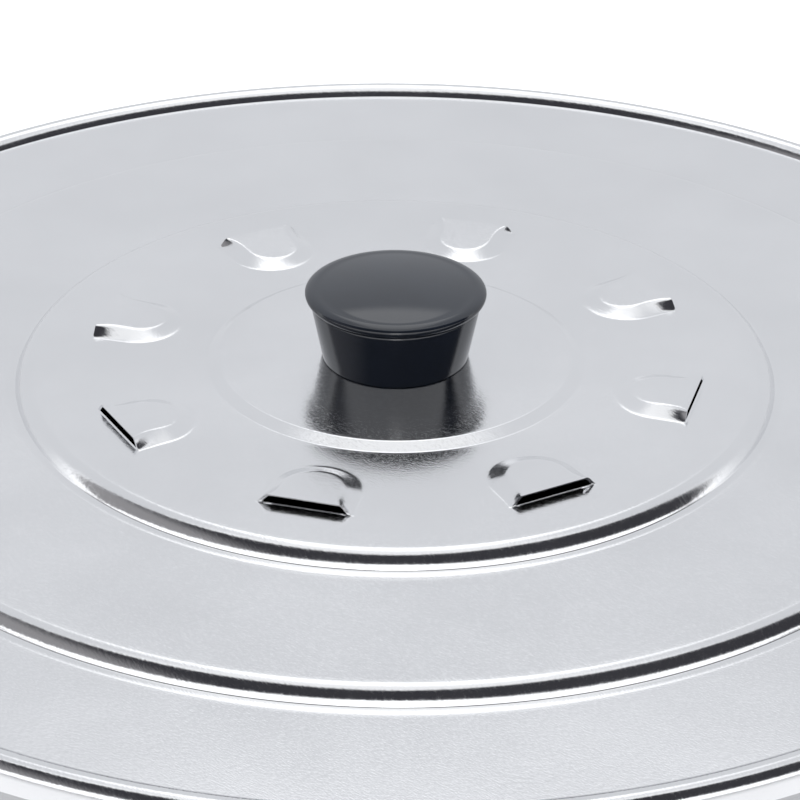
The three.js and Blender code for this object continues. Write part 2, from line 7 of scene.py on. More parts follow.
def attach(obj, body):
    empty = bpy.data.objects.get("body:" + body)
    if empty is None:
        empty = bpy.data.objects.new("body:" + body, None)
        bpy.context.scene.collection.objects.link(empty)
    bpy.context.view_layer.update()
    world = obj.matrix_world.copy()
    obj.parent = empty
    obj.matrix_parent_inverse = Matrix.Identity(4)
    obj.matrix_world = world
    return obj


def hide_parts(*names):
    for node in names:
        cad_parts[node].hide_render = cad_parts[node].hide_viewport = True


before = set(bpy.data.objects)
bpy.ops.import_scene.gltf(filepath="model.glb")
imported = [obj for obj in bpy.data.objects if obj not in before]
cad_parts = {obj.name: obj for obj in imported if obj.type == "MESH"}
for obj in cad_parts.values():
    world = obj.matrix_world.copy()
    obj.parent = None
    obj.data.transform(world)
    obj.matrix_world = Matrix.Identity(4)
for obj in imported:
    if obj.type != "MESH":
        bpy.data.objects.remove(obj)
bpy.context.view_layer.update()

# ---- Sizes in millimetres, as in the CAD source ----

MM = 0.001
GAP = 0.2
HOLE_CLEARANCE = 0.4
CAD_SIDES = 40      # facets round the pot in the CAD
POT_SIDES = 256     # segments round the pot here
WIRE_SIDES = 16

POT_BORE_R = 160.7
POT_RIM_Z = 255.0
SHEET = 0.7
CORNER_R = 14.0
CURL_R = 2.0
CAPSULE_T = 0.8
CORE_T = 4.0
CORE_MARGIN = 7.0

PLATEAU_R = 39.0
PLATEAU_H = 1.3
PLATEAU_STEP_W = 3.2
VENT_INNER_MARGIN = 7.6
VENT_LENGTH = 17.9
VENT_OUTER_MARGIN = 12.3
STEP_W = 6.0
STEP_H = 3.5
STEP_TILT = 71.6    # steepest part of a step, in degrees
STEP_FOOT_R = 0.3   # tight bend where the shoulder ends
STEP_TAIL_TILT = 22.0   # and where the soft tail takes over
STEP_TAIL_R = 5.0
OUTER_BAND_W = 29.4
BEAD_RISE = 1.9
BEAD_SHOULDER_R = 5.0
SEAT_GAP = 0.3
SKIRT_H = 3.2
VENT_COUNT = 8
VENT_WIDTH = 20.8
VENT_FIRST = math.radians(-15.8)
VENT_LIP = 2.05     # the hood's height over the plate at its slot
VENT_BACK_RISE = 0.95

KNOB_FOOT_R = 16.2
KNOB_NECK_R = 18.9
KNOB_BODY_H = 13.5
KNOB_CAP_R = 20.0
KNOB_CAP_EDGE_H = 2.8
KNOB_CAP_DOME_H = 0.9
CAP_ROLL_W = 2.8    # how far in from the cap's edge its top starts to roll over
CAP_ROLL_H = 1.1
KNOB_WALL = 3.0
KNOB_ROOF = 4.2
KNOB_DRAFT = 1.0
SPIGOT_R = 9.0
SPIGOT_H = 1.8
BOSS_WALL = 2.4
INSERT_R = 4.2
INSERT_L = 8.5
SCREW_R = 2.5
SCREW_HEAD_R = 4.7
SCREW_HEAD_H = 2.8
LID_SCREW_L = 10.0
SIDE_SCREW_L = 8.5
THREAD_PITCH = 0.8
THREAD_DEPTH = 0.3
WASHER_R = 8.0
WASHER_T = 1.2
RIVET_R = 2.3
RIVET_HEAD_R = 4.6
RIVET_HEAD_H = 1.8

HANDLE_DROP = 46.0
HANDLE_SPAN = 88.0
BRACKET_T = 1.8
BRACKET_H = 24.0
BRACKET_NOSE_R = 8.0
BRACKET_SHOULDER = 8.0
BRACKET_BEND_R = 3.2    # where the strap turns out into its arms
FINGER_GAP = 30.0
GRIP_W = 18.0
GRIP_H = 17.0
GRIP_BOW = 5.0
GRIP_EASE = 1.2     # rounding of the grip's ends

WIRE_R = 2.2
HANDLE_WIRE_R = 2.0
WELD = 0.9
FOOT_H = 14.0
RACK_CLEARANCE = 7.0
HINGE_INSET = 28.0
BARS_EACH_SIDE = 3
RUNNER_X = 62.0
FOOT_INSET = 12.0
BEND_R = 9.0
EYE_CLEARANCE = 0.4
WIDE_EYE_X = 52.0
NARROW_EYE_X = 40.0
LEG_TAPER = 12.0
LEAN_CLEARANCE = 0.5
HANDLE_HEADROOM = 50.0

POT_OUTER_R = POT_BORE_R + SHEET
CORE_R = POT_OUTER_R - CORNER_R - CORE_MARGIN
FLOOR_UNDER_Z = CAPSULE_T + GAP + CORE_T + GAP
FLOOR_Z = FLOOR_UNDER_Z + SHEET
CURL_X = POT_BORE_R + CURL_R
CURL_Z = POT_RIM_Z - CURL_R
BEAD_R = CURL_R + SEAT_GAP + SHEET
BEAD_FOOT_R = CURL_X - math.sqrt(BEAD_RISE * (2 * BEAD_SHOULDER_R - BEAD_RISE))
OUTER_BAND_Z = CURL_Z + BEAD_R - BEAD_RISE
MIDDLE_BAND_Z = OUTER_BAND_Z + STEP_H
VENT_PLATE_Z = MIDDLE_BAND_Z + STEP_H
PLATEAU_Z = VENT_PLATE_Z + PLATEAU_H
VENT_SLOT_R = PLATEAU_R + PLATEAU_STEP_W + VENT_INNER_MARGIN + VENT_LENGTH
VENT_PLATE_R = VENT_SLOT_R + VENT_OUTER_MARGIN
MIDDLE_BAND_R = BEAD_FOOT_R - OUTER_BAND_W - STEP_W

CAD_FACET = 2 * math.pi / CAD_SIDES
CAD_FLAT = math.cos(CAD_FACET / 2)
HANDLE_Z = POT_RIM_Z - HANDLE_DROP
ARM_IN_Y = HANDLE_SPAN / 2
BRACKET_IN_R = POT_OUTER_R + GAP
BRACKET_OUT_R = BRACKET_IN_R + BRACKET_T
GRIP_X = BRACKET_OUT_R + FINGER_GAP + GRIP_W / 2
RIVET_TURN = 1.5 * CAD_FACET    # each rivet passes through the middle of a facet

RING_R = POT_BORE_R - RACK_CLEARANCE - WIRE_R
RING_Z = FLOOR_Z + GAP + FOOT_H
BAR_Z = RING_Z + 2 * WIRE_R - WELD
HINGE_Y = RING_R - HINGE_INSET
EYE_R = WIRE_R + EYE_CLEARANCE + HANDLE_WIRE_R
LEG_L = POT_RIM_Z - HANDLE_HEADROOM - BAR_Z


# ---- Mesh helpers, all in millimetres ----

def add_mesh(name, verts, faces, sharp=35.0):
    mesh = bpy.data.meshes.new(name)
    mesh.from_pydata([(x * MM, y * MM, z * MM) for x, y, z in verts], [], faces)
    mesh.validate()
    mesh.polygons.foreach_set("use_smooth", [True] * len(mesh.polygons))
    mesh.set_sharp_from_angle(angle=math.radians(sharp))
    mesh.update()
    piece = bpy.data.objects.new(name, mesh)
    bpy.context.scene.collection.objects.link(piece)
    return piece


def finish_piece(piece, body, slot, material, *nodes):
    """Gives a piece its material and body, and the CAD nodes that it replaces."""
    piece.data.materials.clear()
    piece.data.materials.append(material)
    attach(piece, body)
    if nodes:
        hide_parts(*nodes)
    return piece


def arc(x, y, r, start, end, steps):
    """Points of an arc about (x, y), with its angles in degrees."""
    out = []
    for i in range(steps + 1):
        a = math.radians(start + (end - start) * i / steps)
        out.append((x + r * math.cos(a), y + r * math.sin(a)))
    return out


def rounded(points, steps=5, closed=True):
    """A chain of (x, y, radius) corners with each corner rounded."""
    count = len(points)
    out = []
    for i, (x, y, r) in enumerate(points):
        ends = not closed and i in (0, count - 1)
        if r <= 0 or ends:
            out.append((x, y))
            continue
        here = Vector((x, y))
        back = Vector(points[i - 1][:2]) - here
        on = Vector(points[(i + 1) % count][:2]) - here
        half = back.angle(on) / 2
        reach = min(r / math.tan(half), back.length * 0.49, on.length * 0.49)
        start = here + back.normalized() * reach
        end = here + on.normalized() * reach
        true_r = reach * math.tan(half)
        centre = here + (back.normalized() + on.normalized()).normalized() * (true_r / math.sin(half))
        first = start - centre
        turn = first.angle_signed(end - centre)
        for k in range(steps + 1):
            spun = first.copy()
            spun.rotate(Matrix.Rotation(-turn * k / steps, 2))
            out.append(tuple(centre + spun))
    return out


def lathe_data(profile, sides, closed):
    """A profile of (radius, height) points turned about Z."""
    verts, faces, rings = [], [], []
    for r, z in profile:
        if r < 1e-6:
            rings.append([len(verts)])
            verts.append((0.0, 0.0, z))
            continue
        rings.append(list(range(len(verts), len(verts) + sides)))
        for i in range(sides):
            a = 2 * math.pi * i / sides
            verts.append((r * math.cos(a), r * math.sin(a), z))
    pairs = list(zip(rings, rings[1:]))
    if closed:
        pairs.append((rings[-1], rings[0]))
    for low, high in pairs:
        if len(low) == 1 and len(high) == 1:
            continue
        for i in range(sides):
            j = (i + 1) % sides
            if len(low) == 1:
                faces.append((low[0], high[j], high[i]))
            elif len(high) == 1:
                faces.append((low[i], low[j], high[0]))
            else:
                faces.append((low[i], low[j], high[j], high[i]))
    return verts, faces


def lathe(name, profile, sides=64):
    closed = profile[0][0] > 1e-6
    return add_mesh(name, *lathe_data(profile, sides, closed))


def sweep_data(points, radii, sides=WIRE_SIDES, loop=False, section=None):
    """A tube along points.

    radii is one number, or one number or pair of numbers per point; section is a list of (a, b) factors.
    """
    points = [Vector(p) for p in points]
    count = len(points)
    section = section or arc(0, 0, 1, 0, 360 * (sides - 1) / sides, sides - 1)
    sides = len(section)
    tangents = []
    for i in range(count):
        before = points[i - 1] if (loop or i > 0) else points[0]
        after = points[(i + 1) % count] if (loop or i < count - 1) else points[-1]
        tangents.append((after - before).normalized())
    seed = Vector((0, 0, 1)) if abs(tangents[0].z) < 0.9 else Vector((1, 0, 0))
    normal = (seed - tangents[0] * seed.dot(tangents[0])).normalized()
    verts, faces = [], []
    for i in range(count):
        normal = (normal - tangents[i] * normal.dot(tangents[i])).normalized()
        other = tangents[i].cross(normal)
        r = radii[i] if isinstance(radii, (list, tuple)) else (radii, radii)
        ra, rb = r if isinstance(r, (list, tuple)) else (r, r)
        for a, b in section:
            verts.append(tuple(points[i] + normal * (a * ra) + other * (b * rb)))
    runs = count if loop else count - 1
    for i in range(runs):
        low, high = i * sides, ((i + 1) % count) * sides
        for k in range(sides):
            m = (k + 1) % sides
            faces.append((low + k, low + m, high + m, high + k))
    if not loop:
        faces.append(tuple(reversed(range(sides))))
        faces.append(tuple(range((count - 1) * sides, count * sides)))
    return verts, faces


def merged(parts):
    verts, faces = [], []
    for v, f in parts:
        base = len(verts)
        verts.extend(v)
        faces.extend(tuple(base + i for i in face) for face in f)
    return verts, faces


def bend_chain(points, reach, steps=8):
    """A chain of points with each inner corner replaced by a bend."""
    points = [Vector(p) for p in points]
    out = [points[0]]
    for i in range(1, len(points) - 1):
        here = points[i]
        start = here + (points[i - 1] - here).normalized() * reach
        end = here + (points[i + 1] - here).normalized() * reach
        for k in range(steps + 1):
            t = k / steps
            out.append(start * (1 - t) ** 2 + here * 2 * t * (1 - t) + end * t ** 2)
    out.append(points[-1])
    return out


def moved(data, matrix):
    verts, faces = data
    return [tuple(matrix @ Vector(v)) for v in verts], faces


# ---- Materials ----

def shader(name):
    material = bpy.data.materials.new(name)
    material.use_nodes = True
    nodes = material.node_tree.nodes
    return material, nodes, material.node_tree.links, nodes["Principled BSDF"]


def add_noise(nodes, links, vector, scale, detail=2.0, roughness=0.5):
    noise = nodes.new("ShaderNodeTexNoise")
    noise.inputs["Scale"].default_value = scale
    noise.inputs["Detail"].default_value = detail
    noise.inputs["Roughness"].default_value = roughness
    links.new(vector, noise.inputs["Vector"])
    return noise.outputs["Fac"]


def mapped(nodes, links, value, low, high, start=0.0, end=1.0):
    node = nodes.new("ShaderNodeMapRange")
    node.inputs["From Min"].default_value = start
    node.inputs["From Max"].default_value = end
    node.inputs["To Min"].default_value = low
    node.inputs["To Max"].default_value = high
    links.new(value, node.inputs["Value"])
    return node.outputs["Result"]


def math_node(nodes, links, operation, a, b=None):
    node = nodes.new("ShaderNodeMath")
    node.operation = operation
    for socket, value in zip(node.inputs, (a, b)):
        if value is None:
            continue
        if isinstance(value, (int, float)):
            socket.default_value = value
        else:
            links.new(value, socket)
    return node.outputs[0]


def object_vector(nodes, links, scale=(1, 1, 1), rotation=(0, 0, 0)):
    """Object coordinates turned by the rotation and then scaled."""
    coord = nodes.new("ShaderNodeTexCoord")
    mapping = nodes.new("ShaderNodeMapping")
    mapping.vector_type = "TEXTURE"
    mapping.inputs["Scale"].default_value = [1 / s for s in scale]
    mapping.inputs["Rotation"].default_value = rotation
    links.new(coord.outputs["Object"], mapping.inputs["Vector"])
    return mapping.outputs["Vector"]


def round_vector(nodes, links, around, along):
    """Coordinates that run round Z and along it, for a grain that goes round the axis."""
    coord = nodes.new("ShaderNodeTexCoord")
    split = nodes.new("ShaderNodeSeparateXYZ")
    links.new(coord.outputs["Object"], split.inputs[0])
    x, y, z = split.outputs
    radius = math_node(nodes, links, "SQRT", math_node(
        nodes, links, "ADD", math_node(nodes, links, "MULTIPLY", x, x), math_node(nodes, links, "MULTIPLY", y, y)))
    unit = math_node(nodes, links, "MAXIMUM", radius, 1e-5)
    join = nodes.new("ShaderNodeCombineXYZ")
    links.new(math_node(nodes, links, "MULTIPLY", math_node(nodes, links, "DIVIDE", x, unit), around), join.inputs[0])
    links.new(math_node(nodes, links, "MULTIPLY", math_node(nodes, links, "DIVIDE", y, unit), around), join.inputs[1])
    lift = math_node(nodes, links, "ADD", z, radius)
    links.new(math_node(nodes, links, "MULTIPLY", lift, along), join.inputs[2])
    return join.outputs[0]


def add_bump(nodes, links, bsdf, height, strength, distance):
    bump = nodes.new("ShaderNodeBump")
    bump.inputs["Strength"].default_value = strength
    bump.inputs["Distance"].default_value = distance
    links.new(height, bump.inputs["Height"])
    links.new(bump.outputs["Normal"], bsdf.inputs["Normal"])


def tinted(nodes, links, value, dark, light):
    ramp = nodes.new("ShaderNodeValToRGB")
    ramp.color_ramp.elements[0].color = (*dark, 1)
    ramp.color_ramp.elements[1].color = (*light, 1)
    ramp.color_ramp.elements[0].position = 0.3
    ramp.color_ramp.elements[1].position = 0.7
    links.new(value, ramp.inputs["Fac"])
    return ramp.outputs["Color"]


def metal(name, dark, light, rough, spread, grain, bump, smudge=22.0, distance=0.00002):
    """Metal with a grain given by a function that makes its coordinates; rough varies with grain and smudges."""
    material, nodes, links, bsdf = shader(name)
    bsdf.inputs["Metallic"].default_value = 1.0
    fine = add_noise(nodes, links, grain(nodes, links), 1.0, 3.0, 0.6)
    cloud = add_noise(nodes, links, object_vector(nodes, links), smudge, 3.0, 0.55)
    both = math_node(nodes, links, "ADD", math_node(nodes, links, "MULTIPLY", fine, 0.6),
                     math_node(nodes, links, "MULTIPLY", cloud, 0.4))
    links.new(tinted(nodes, links, both, dark, light), bsdf.inputs["Base Color"])
    links.new(mapped(nodes, links, both, rough - spread, rough + spread, 0.3, 0.7), bsdf.inputs["Roughness"])
    add_bump(nodes, links, bsdf, fine, bump, distance)
    return material


def lid_grain(nodes, links):
    return object_vector(nodes, links, (3200, 1000, 1000), (0, 0, math.radians(45)))


def pot_grain(nodes, links):
    return round_vector(nodes, links, 3.0, 2600.0)


def satin_grain(nodes, links):
    return object_vector(nodes, links, (600, 600, 3400))


def plain_grain(nodes, links):
    return object_vector(nodes, links, (900, 900, 900))


def lid_sheet(name):
    """Bright rolled sheet: short slanting dashes scatter the light, the rest is near a mirror."""
    material, nodes, links, bsdf = shader(name)
    bsdf.inputs["Metallic"].default_value = 1.0
    dashes = add_noise(nodes, links, lid_grain(nodes, links), 1.0, 2.0, 0.55)
    cloud = add_noise(nodes, links, object_vector(nodes, links), 22.0, 3.0, 0.55)
    links.new(tinted(nodes, links, cloud, (0.765, 0.77, 0.785), (0.81, 0.815, 0.83)), bsdf.inputs["Base Color"])
    base = mapped(nodes, links, cloud, 0.09, 0.14, 0.3, 0.7)
    scatter = mapped(nodes, links, dashes, 0.0, 0.13, 0.45, 0.75)
    links.new(math_node(nodes, links, "ADD", base, scatter), bsdf.inputs["Roughness"])
    add_bump(nodes, links, bsdf, dashes, 0.4, 0.00005)
    return material


def phenolic(name):
    material, nodes, links, bsdf = shader(name)
    vector = object_vector(nodes, links)
    cloud = add_noise(nodes, links, vector, 60.0, 3.0, 0.55)
    fine = add_noise(nodes, links, vector, 2200.0, 2.0, 0.5)
    links.new(tinted(nodes, links, cloud, (0.007, 0.0095, 0.015), (0.009, 0.0125, 0.02)), bsdf.inputs["Base Color"])
    links.new(mapped(nodes, links, cloud, 0.05, 0.11, 0.3, 0.7), bsdf.inputs["Roughness"])
    bsdf.inputs["IOR"].default_value = 1.62
    add_bump(nodes, links, bsdf, fine, 0.06, 0.00001)
    return material


lid_steel = lid_sheet("lid_steel")
pot_steel = metal("pot_steel", (0.4, 0.405, 0.415), (0.5, 0.505, 0.515), 0.24, 0.06, pot_grain, 0.4)
bracket_steel = metal("bracket_steel", (0.48, 0.485, 0.495), (0.57, 0.575, 0.585), 0.27, 0.05, satin_grain, 0.3)
rack_chrome = metal("rack_chrome", (0.76, 0.77, 0.78), (0.83, 0.84, 0.85), 0.09, 0.03, plain_grain, 0.05)
zinc_plate = metal("zinc_plate", (0.5, 0.51, 0.53), (0.62, 0.63, 0.65), 0.3, 0.06, plain_grain, 0.2)
insert_brass = metal("insert_brass", (0.6, 0.42, 0.17), (0.75, 0.56, 0.27), 0.3, 0.06, plain_grain, 0.2)
base_aluminium = metal("base_aluminium", (0.6, 0.61, 0.62), (0.7, 0.71, 0.72), 0.42, 0.06, plain_grain, 0.3)
black_phenolic = phenolic("black_phenolic")


# ---- Lid ----

LID_T = 0.6
LID_SLOT_HALF = VENT_WIDTH / 2 - 0.5
FLANK_W = 2.3       # width of the hood's leaning side at its slot
FLANK_BACK_W = 4.8  # and behind it
RIDGE_W = 0.5       # raised edge that shearing leaves on the plate at a slot
RIDGE_H = 0.17
RIDGE_ROWS = 5
SLOT_EDGE_T = 0.25  # sheared edge of the hood at its slot
SLOT_EDGE_W = 1.2
SLOT_COLUMNS = 22   # columns of the mesh on each side of a vent's middle
STEP_REACH = 1.2    # how far a step's bends run into the flats at its ends
PLATEAU_TILT = 27.0
PLATEAU_BEND_R = 1.2


def lid_step(r, z, bends):
    """Rows of a round step, as (top r, top z, under r, under z).

    Each bend is (radius, first tilt, last tilt, rows), or (0, tilt, length, 0) for a straight run.
    """
    rows = [(r, z, r, z - LID_T)]
    for radius, first, last, count in bends:
        if radius == 0:
            a = math.radians(first)
            r, z = r + last * math.cos(a), z - last * math.sin(a)
            rows.append((r, z, r - LID_T * math.sin(a), z - LID_T * math.cos(a)))
            continue
        way = 1 if last > first else -1
        start = math.radians(first)
        for i in range(1, count + 1):
            a = math.radians(first + (last - first) * i / count)
            x = r + way * radius * (math.sin(a) - math.sin(start))
            y = z + way * radius * (math.cos(a) - math.cos(start))
            rows.append((x, y, x - LID_T * math.sin(a), y - LID_T * math.cos(a)))
        r, z = rows[-1][0], rows[-1][1]
    return rows


def shoulder_step(r, z):
    """A wide shoulder, a tight bend at its foot and a soft tail that meets the next flat band."""
    tail = STEP_TAIL_R * (1 - math.cos(math.radians(STEP_TAIL_TILT)))
    bend = STEP_FOOT_R * (math.cos(math.radians(STEP_TAIL_TILT)) - math.cos(math.radians(STEP_TILT)))
    shoulder = (STEP_H - tail - bend) / (1 - math.cos(math.radians(STEP_TILT)))
    bends = [(shoulder, 0, STEP_TILT, 14), (STEP_FOOT_R, STEP_TILT, STEP_TAIL_TILT, 6)]
    return lid_step(r, z, bends + [(STEP_TAIL_R, STEP_TAIL_TILT, 0, 7)])


def cone_step(r, z):
    """A straight slope with a bend at each end."""
    a = math.radians(PLATEAU_TILT)
    run = (PLATEAU_H - 2 * PLATEAU_BEND_R * (1 - math.cos(a))) / math.sin(a)
    bends = [(PLATEAU_BEND_R, 0, PLATEAU_TILT, 5), (0, PLATEAU_TILT, run, 0), (PLATEAU_BEND_R, PLATEAU_TILT, 0, 5)]
    return lid_step(r, z, bends)


def arc_row(x, z, r, angle):
    a = math.radians(angle)
    inner = r - LID_T
    return (x + r * math.cos(a), z + r * math.sin(a), x + inner * math.cos(a), z + inner * math.sin(a))


def lid_rows():
    """Rows of the lid from its hole to the edge of its skirt, and the index of the row at the slots."""
    rows = []

    def flat(start, end, z, count):
        for i in range(count + 1):
            r = start + (end - start) * i / count
            rows.append((r, z, r, z - LID_T))

    vent_back = VENT_SLOT_R - VENT_LENGTH
    flat(SCREW_R + HOLE_CLEARANCE, PLATEAU_R - 0.8, PLATEAU_Z, 6)
    rows.extend(cone_step(PLATEAU_R, PLATEAU_Z))
    flat(PLATEAU_R + PLATEAU_STEP_W + STEP_REACH, vent_back - 1.6, VENT_PLATE_Z, 3)
    flat(vent_back - 1.2, VENT_SLOT_R, VENT_PLATE_Z, 46)
    slot_row = len(rows) - 1
    flat(VENT_SLOT_R + 0.1, VENT_SLOT_R + RIDGE_W, VENT_PLATE_Z, RIDGE_ROWS - 1)
    flat(VENT_SLOT_R + RIDGE_W + 0.7, VENT_PLATE_R - STEP_REACH, VENT_PLATE_Z, 8)
    rows.extend(shoulder_step(VENT_PLATE_R, VENT_PLATE_Z))
    flat(VENT_PLATE_R + STEP_W + STEP_REACH, MIDDLE_BAND_R - STEP_REACH, MIDDLE_BAND_Z, 6)
    rows.extend(shoulder_step(MIDDLE_BAND_R, MIDDLE_BAND_Z))
    flat(MIDDLE_BAND_R + STEP_W + STEP_REACH, BEAD_FOOT_R - 1.0, OUTER_BAND_Z, 6)
    shoulder_z = CURL_Z + BEAD_R - BEAD_SHOULDER_R
    start = 180 - math.degrees(math.asin((OUTER_BAND_Z - shoulder_z) / BEAD_SHOULDER_R))
    rows.append((BEAD_FOOT_R - 0.12, OUTER_BAND_Z, BEAD_FOOT_R - 0.12, OUTER_BAND_Z - LID_T))
    for i in range(17):
        rows.append(arc_row(CURL_X, shoulder_z, BEAD_SHOULDER_R, start + (90 - start) * i / 16))
    for i in range(1, 13):
        rows.append(arc_row(CURL_X, CURL_Z, BEAD_R, 90 - 90 * i / 12))
    outer = CURL_X + BEAD_R
    for drop in (SKIRT_H * 0.5, SKIRT_H):
        rows.append((outer, CURL_Z - drop, outer - LID_T, CURL_Z - drop))
    return rows, slot_row


def lid_columns():
    """Angles round the lid, close together at the vents and with one at each end of each slot."""
    end = math.asin(LID_SLOT_HALF / VENT_SLOT_R)
    inner = [end * i / SLOT_COLUMNS for i in range(-SLOT_COLUMNS, SLOT_COLUMNS + 1)]
    step = end / SLOT_COLUMNS
    flank = [end + step * 0.8 * i for i in range(1, 9)]
    half_pitch = math.pi / VENT_COUNT
    rest = half_pitch - flank[-1]
    gap = [flank[-1] + rest * i / 8 for i in range(1, 9)]
    one = [-a for a in reversed(gap[:-1])] + [-a for a in reversed(flank)] + inner + flank + gap
    out = []
    for k in range(VENT_COUNT):
        centre = VENT_FIRST + 2 * math.pi * k / VENT_COUNT
        out.extend((centre + a, a) for a in one)
    return out


def ramp(t, soft=0.2):
    """Rises from 0 to 1 in a straight run with a short bend at each end."""
    t = np.clip(t, 0.0, 1.0)
    bend = 2 * soft * (1 - soft)
    rise = np.where(t < soft, t * t / bend, (t - soft / 2) / (1 - soft))
    return np.where(t > 1 - soft, 1 - (1 - t) ** 2 / bend, rise)


def hood(x, y, shift):
    """Height of a vent's hood over the plate; shift moves its flanks in, for the underside."""
    half = VENT_WIDTH / 2 - shift
    centre = VENT_SLOT_R - VENT_LENGTH + VENT_WIDTH / 2
    inside = np.where(x > centre, half - np.abs(y), half - np.hypot(x - centre, y))
    t = (x - (VENT_SLOT_R - VENT_LENGTH)) / VENT_LENGTH
    roof = VENT_BACK_RISE + (VENT_LIP - VENT_BACK_RISE) * np.clip(t, 0.0, 1.0)
    flank = FLANK_BACK_W + (FLANK_W - FLANK_BACK_W) * np.clip(t, 0.0, 1.0) ** 7
    return roof * ramp(inside / flank)


def slot_ridge(x, y):
    """Height of the raised edge of the plate in front of a slot."""
    near = np.clip(1 - (x - VENT_SLOT_R) / RIDGE_W, 0.0, 1.0)
    return RIDGE_H * near ** 2 * ramp((LID_SLOT_HALF - np.abs(y)) / 0.8)


def build_lid():
    """The lid's sheet, top and underside, sheared open at each vent's slot.

    Rings near the slots are bowed so that one of their rows is a straight slot edge.
    """
    rows, slot_row = lid_rows()
    columns = lid_columns()
    count = len(columns)
    angle = np.array([c[0] for c in columns])
    local = np.array([c[1] for c in columns])
    end = math.asin(LID_SLOT_HALF / VENT_SLOT_R)
    bow = VENT_SLOT_R / np.cos(np.clip(local, -end * 1.25, end * 1.25)) - VENT_SLOT_R
    open_slot = np.abs(local) < end - 1e-6
    verts, faces = [], []

    def ring(r, z, side, kind):
        near = max(0.0, 1 - abs(r - VENT_SLOT_R) / 9.0)
        radius = r + bow * near
        x, y = radius * np.cos(local), radius * np.sin(local)
        height = np.full(count, z)
        if kind == "hood":
            over = hood(x, y, LID_T * side)
            edge = np.clip(1 - (VENT_SLOT_R - x) / SLOT_EDGE_W, 0.0, 1.0) * ramp(over / LID_T)
            height = height + over + side * (LID_T - SLOT_EDGE_T) * edge
        if kind == "ridge":
            height = height + slot_ridge(x, y)
        base = len(verts)
        verts.extend(zip(radius * np.cos(angle), radius * np.sin(angle), height))
        return list(range(base, base + count))

    def band(low, high, flip):
        for i in range(count):
            j = (i + 1) % count
            face = (low[i], high[i], high[j], low[j])
            faces.append(face if not flip else face[::-1])

    edges = []
    for side in (0, 1):
        rings = []
        for index, row in enumerate(rows):
            r, z = row[2 * side], row[2 * side + 1]
            kind = "plain"
            if index <= slot_row and r > PLATEAU_R + PLATEAU_STEP_W + 2 * STEP_REACH:
                kind = "hood"
            if slot_row < index <= slot_row + RIDGE_ROWS:
                kind = "ridge"
            rings.append(ring(r, z, side, kind))
        lip = rings[slot_row]
        plate = ring(rows[slot_row][2 * side], rows[slot_row][2 * side + 1], side, "ridge")
        lower = [plate[i] if open_slot[i] else lip[i] for i in range(count)]
        for index in range(len(rows) - 1):
            low = lower if index == slot_row else rings[index]
            band(low, rings[index + 1], side == 1)
        edges.append((rings[0], rings[-1], lip, lower))
    top, under = edges
    band(under[0], top[0], False)
    band(top[1], under[1], False)
    for i in range(count):
        j = (i + 1) % count
        if open_slot[i] or open_slot[j]:
            faces.append((top[2][i], under[2][i], under[2][j], top[2][j]))
            faces.append((top[3][j], under[3][j], under[3][i], top[3][i]))
    used = sorted({i for f in faces for i in f})
    index = {old: new for new, old in enumerate(used)}
    return add_mesh("lid", [verts[i] for i in used], [tuple(index[i] for i in f) for f in faces], 50.0)


finish_piece(build_lid(), "lid", "lid_steel", lid_steel, "lid_shell")


# ---- Knob ----

def knob_body():
    low = PLATEAU_Z + 0.05
    top = PLATEAU_Z + GAP + KNOB_BODY_H
    boss = INSERT_R + GAP
    boss_top = low + INSERT_L + 3 * GAP
    recess = top - SPIGOT_H - GAP
    return rounded([
        (boss, low, 0.2),
        (boss + BOSS_WALL, low, 0.3),
        (boss + BOSS_WALL, top - KNOB_ROOF, 0.6),
        (KNOB_NECK_R - KNOB_WALL - KNOB_DRAFT, top - KNOB_ROOF, 1.0),
        (KNOB_FOOT_R - KNOB_WALL, low, 0.3),
        (KNOB_FOOT_R, low, 0.35),
        (KNOB_NECK_R, top, 0.45),
        (SPIGOT_R + GAP, top, 0.2),
        (SPIGOT_R + GAP, recess, 0.1),
        (SCREW_R, recess, 0.1),
        (SCREW_R, boss_top, 0.0),
        (boss, boss_top, 0.0),
    ], 6)


def knob_cap():
    """The cap: a plug below, a round edge, a roll that leads into the top and a slightly domed top."""
    low = PLATEAU_Z + 2 * GAP + KNOB_BODY_H
    edge = KNOB_CAP_EDGE_H / 2
    plug_low = low - SPIGOT_H
    plug = [(0.0, plug_low), (SPIGOT_R - GAP, plug_low), (SPIGOT_R, plug_low + GAP), (SPIGOT_R, low)]
    rim = arc(KNOB_CAP_R - edge, low + edge, edge, -90, 0, 10)
    flat_r = KNOB_CAP_R - CAP_ROLL_W
    roll = [(flat_r + CAP_ROLL_W * c, low + edge + CAP_ROLL_H * s) for c, s in arc(0, 0, 1, 0, 90, 14)[1:]]
    crown = []
    crown_low = low + edge + CAP_ROLL_H
    crown_h = KNOB_CAP_EDGE_H + KNOB_CAP_DOME_H - edge - CAP_ROLL_H
    for i in range(1, 17):
        t = 1 - i / 16
        crown.append((flat_r * t, crown_low + crown_h * (1 - t * t)))
    crown[-1] = (0.0, crown[-1][1])
    return plug + [(rim[0][0] - 1.0, low)] + rim + roll + crown


finish_piece(lathe("knob_body_moulding", knob_body(), 160), "lid", "black_phenolic", black_phenolic, "knob_body")
finish_piece(lathe("knob_cap_moulding", knob_cap(), 160), "lid", "black_phenolic", black_phenolic, "knob_cap")


# ---- Fasteners ----

